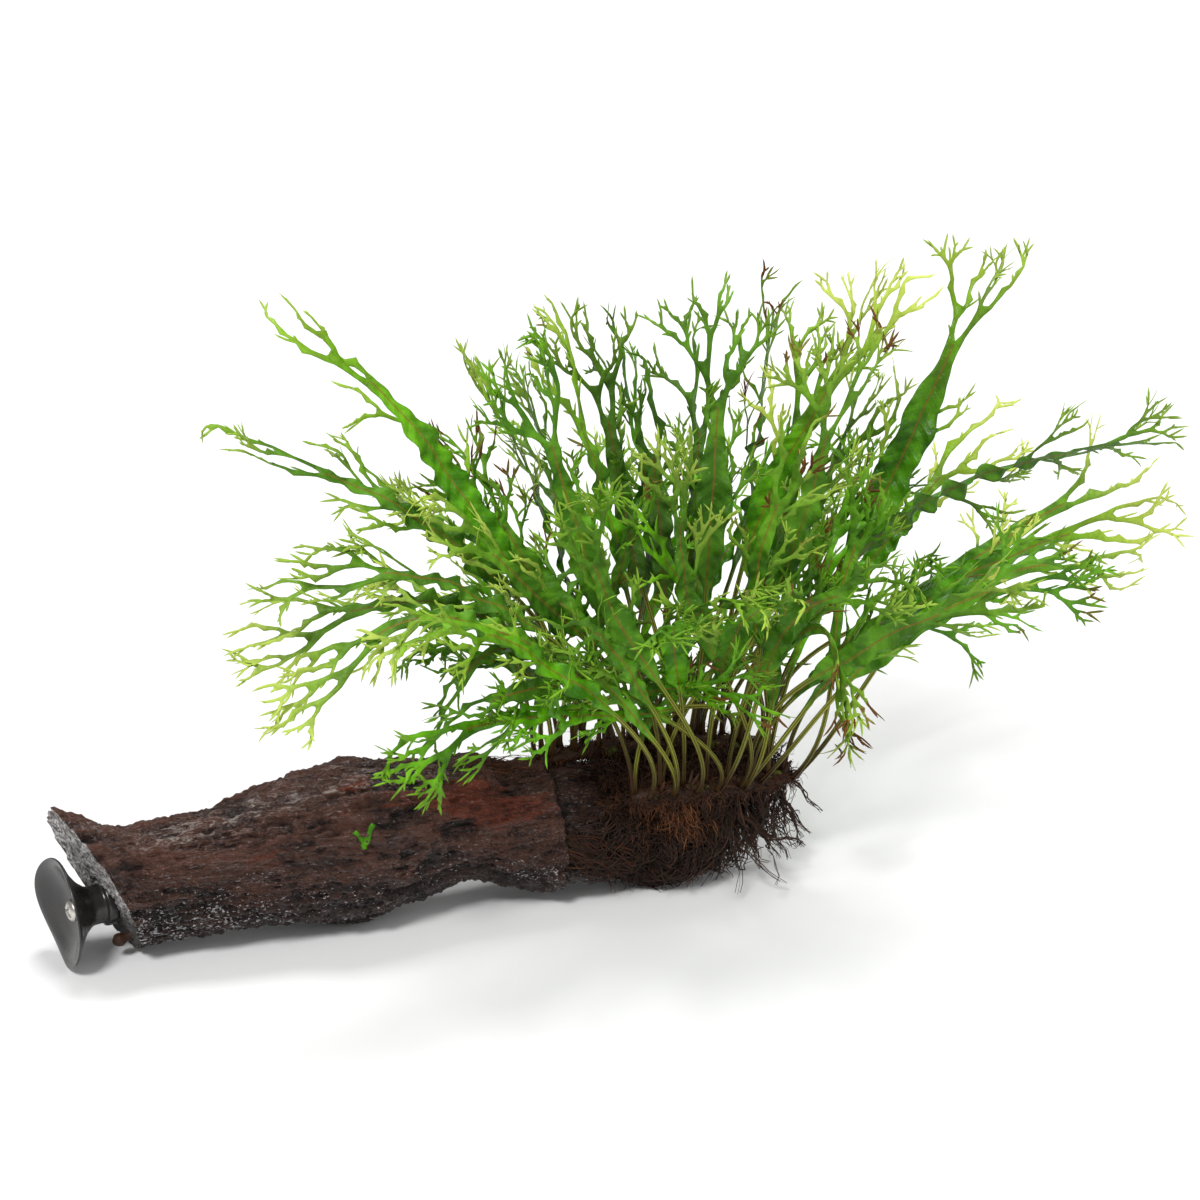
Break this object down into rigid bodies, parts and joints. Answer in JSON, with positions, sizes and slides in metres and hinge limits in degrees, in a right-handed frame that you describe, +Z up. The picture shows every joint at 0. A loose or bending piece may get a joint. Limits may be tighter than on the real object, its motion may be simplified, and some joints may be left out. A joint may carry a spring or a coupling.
{
  "type": "java fern on driftwood",
  "caption": "Crested java fern with forked frond tips, rooted around one end of a piece of driftwood that has a suction cup screwed to its other end.",
  "frame": {"origin": "middle of the bottom of the whole object's box, on the surface that it stands on", "axes": "+X along the wood towards the fern, -X, turned 15 degrees towards -Y, out of the suction cup, +Z up"},
  "size_m": [0.4522, 0.1962, 0.2292],
  "materials": {
    "wet_wood": "wet, rough, dark red-brown",
    "black_rubber": "satin",
    "steel": "plain",
    "stem_green": "smooth, green to brown",
    "root_brown": "matt fibres",
    "leaf_green": "wet satin leaf"
  },
  "bodies": {
    "root": {"driftwood": "wet_wood", "suction_cup": "black_rubber", "cup_screw": "steel", "root_mat": "root_brown", "hanging_roots": "root_brown", "rhizome_top": "stem_green", "rhizome_front": "stem_green", "rhizome_back": "stem_green", "leaf_scrap": "leaf_green", "frond_01": "leaf_green", "frond_02": "leaf_green", "frond_03": "leaf_green", "frond_04": "leaf_green", "frond_05": "leaf_green", "frond_06": "leaf_green", "frond_07": "leaf_green", "frond_08": "leaf_green", "frond_09": "leaf_green", "frond_10": "leaf_green", "frond_11": "leaf_green", "frond_12": "leaf_green", "frond_13": "leaf_green", "frond_14": "leaf_green", "frond_15": "leaf_green", "frond_16": "leaf_green", "frond_17": "leaf_green", "frond_18": "leaf_green", "frond_19": "leaf_green", "frond_20": "leaf_green", "frond_21": "leaf_green", "frond_22": "leaf_green", "frond_23": "leaf_green", "frond_24": "leaf_green", "frond_25": "leaf_green", "frond_26": "leaf_green", "frond_27": "leaf_green", "frond_28": "leaf_green", "frond_29": "leaf_green", "frond_30": "leaf_green", "frond_31": "leaf_green", "frond_32": "leaf_green", "frond_33": "leaf_green", "frond_34": "leaf_green", "frond_35": "leaf_green", "frond_36": "leaf_green", "frond_37": "leaf_green", "frond_38": "leaf_green", "frond_39": "leaf_green", "frond_40": "leaf_green", "frond_41": "leaf_green", "frond_42": "leaf_green", "frond_43": "leaf_green", "frond_44": "leaf_green", "frond_45": "leaf_green", "frond_46": "leaf_green", "frond_47": "leaf_green"}
  },
  "joints": []
}
